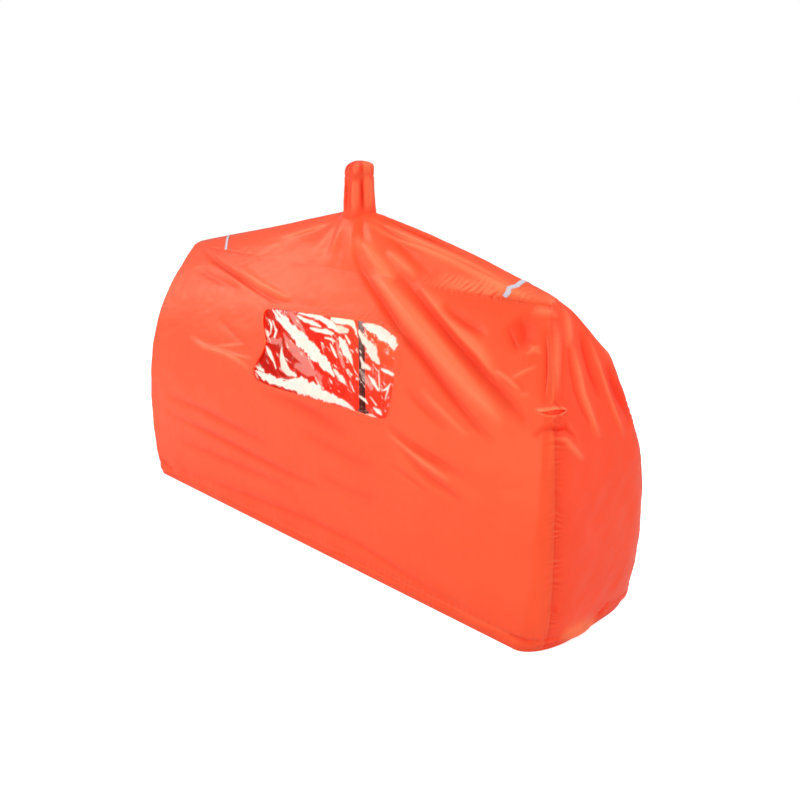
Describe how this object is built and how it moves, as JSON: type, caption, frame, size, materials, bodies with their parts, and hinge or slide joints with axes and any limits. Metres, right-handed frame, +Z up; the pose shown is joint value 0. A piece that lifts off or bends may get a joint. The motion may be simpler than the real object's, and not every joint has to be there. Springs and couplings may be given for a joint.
{
  "type": "group shelter",
  "caption": "Low tent-like emergency shelter of coated cloth with a clear window and a drawn-in chimney vent, held up from inside by telescopic poles.",
  "frame": {"origin": "on the ground under the centre of the shelter's plan", "axes": "+X along the length towards the end with the low corner vent, -Y to the wall with the window, +Z up"},
  "size_m": [1.5012, 0.3822, 0.932],
  "materials": {
    "cloth": "satin coated cloth",
    "seam_tape": "matte tape",
    "window_film": "clear soft film",
    "reflective_tape": "silver",
    "seat_cloth": "matte",
    "drawcord": "braided",
    "black_nylon": "moulded",
    "lock_button": "moulded",
    "black_lever": "moulded",
    "grip_foam": "foam",
    "black_tube": "black anodised",
    "bare_tube": "brushed",
    "rubber": "matte",
    "steel_pin": "polished"
  },
  "bodies": {
    "shelter": {"front_panel": "cloth", "rear_panel": "cloth", "left_end_panel": "cloth", "right_end_panel": "cloth", "roof_panel": "cloth", "chimney_vent": "cloth", "front_hem": "cloth", "rear_hem": "cloth", "left_hem": "cloth", "right_hem": "cloth", "chimney_channel": "cloth", "window_binding": "seam_tape", "vent_hood": "seam_tape", "front_left_seam_binding": "seam_tape", "front_right_lower_seam_binding": "seam_tape", "front_right_upper_seam_binding": "seam_tape", "rear_left_seam_binding": "seam_tape", "rear_right_seam_binding": "seam_tape", "left_pole_patch": "seam_tape", "right_pole_patch": "seam_tape", "window_film": "window_film", "left_reflective_tape": "reflective_tape", "right_reflective_tape": "reflective_tape", "left_seat": "seat_cloth", "right_seat": "seat_cloth", "hem_drawcord": "drawcord", "chimney_drawcord": "drawcord", "hem_cord_lock": "black_nylon", "chimney_cord_lock": "black_nylon", "centre_pole_grip": "grip_foam", "centre_pole_upper_shaft": "black_tube", "centre_pole_lock_collar": "black_nylon", "centre_pole_lock_pin": "steel_pin", "left_pole_grip": "grip_foam", "left_pole_upper_shaft": "black_tube", "left_pole_lock_collar": "black_nylon", "left_pole_lock_pin": "steel_pin", "right_pole_grip": "grip_foam", "right_pole_upper_shaft": "black_tube", "right_pole_lock_collar": "black_nylon", "right_pole_lock_pin": "steel_pin"},
    "centre_pole_lower_section": {"centre_pole_lower_shaft": "bare_tube", "centre_pole_rubber_foot": "rubber", "centre_pole_basket": "black_nylon"},
    "centre_pole_lever": {"centre_pole_lock_lever": "black_lever"},
    "left_pole_lower_section": {"left_pole_lower_shaft": "bare_tube", "left_pole_rubber_foot": "rubber", "left_pole_basket": "black_nylon"},
    "left_pole_lever": {"left_pole_lock_lever": "black_lever"},
    "right_pole_lower_section": {"right_pole_lower_shaft": "bare_tube", "right_pole_rubber_foot": "rubber", "right_pole_basket": "black_nylon"},
    "right_pole_lever": {"right_pole_lock_lever": "black_lever"},
    "hem_button": {"hem_lock_button": "lock_button"},
    "chimney_button": {"chimney_lock_button": "lock_button"}
  },
  "joints": [
    {"name": "centre_pole_slide", "type": "slide", "parent": "shelter", "child": "centre_pole_lower_section", "axis": [0, 0, 1], "range_m": [0, 0.22]},
    {"name": "left_pole_slide", "type": "slide", "parent": "shelter", "child": "left_pole_lower_section", "axis": [0, 0, 1], "range_m": [0, 0.06]},
    {"name": "right_pole_slide", "type": "slide", "parent": "shelter", "child": "right_pole_lower_section", "axis": [0, 0, 1], "range_m": [0, 0.06]},
    {"name": "centre_pole_lever_turn", "type": "hinge", "parent": "shelter", "child": "centre_pole_lever", "pos_m": [0.035, 0, 0.304], "axis": [0, 0, -1], "range_deg": [0, 100]},
    {"name": "left_pole_lever_turn", "type": "hinge", "parent": "shelter", "child": "left_pole_lever", "pos_m": [-0.584, 0, 0.1457], "axis": [0, 0, -1], "range_deg": [0, 100]},
    {"name": "right_pole_lever_turn", "type": "hinge", "parent": "shelter", "child": "right_pole_lever", "pos_m": [0.536, 0, 0.1457], "axis": [0, 0, -1], "range_deg": [0, 100]},
    {"name": "hem_button_press", "type": "slide", "parent": "shelter", "child": "hem_button", "axis": [-1, 0, 0], "range_m": [0, 0.004], "stiffness_N_per_m": 500, "springref_m": -0.001},
    {"name": "chimney_button_press", "type": "slide", "parent": "shelter", "child": "chimney_button", "axis": [0, 0, 1], "range_m": [0, 0.004], "stiffness_N_per_m": 500, "springref_m": -0.001}
  ]
}
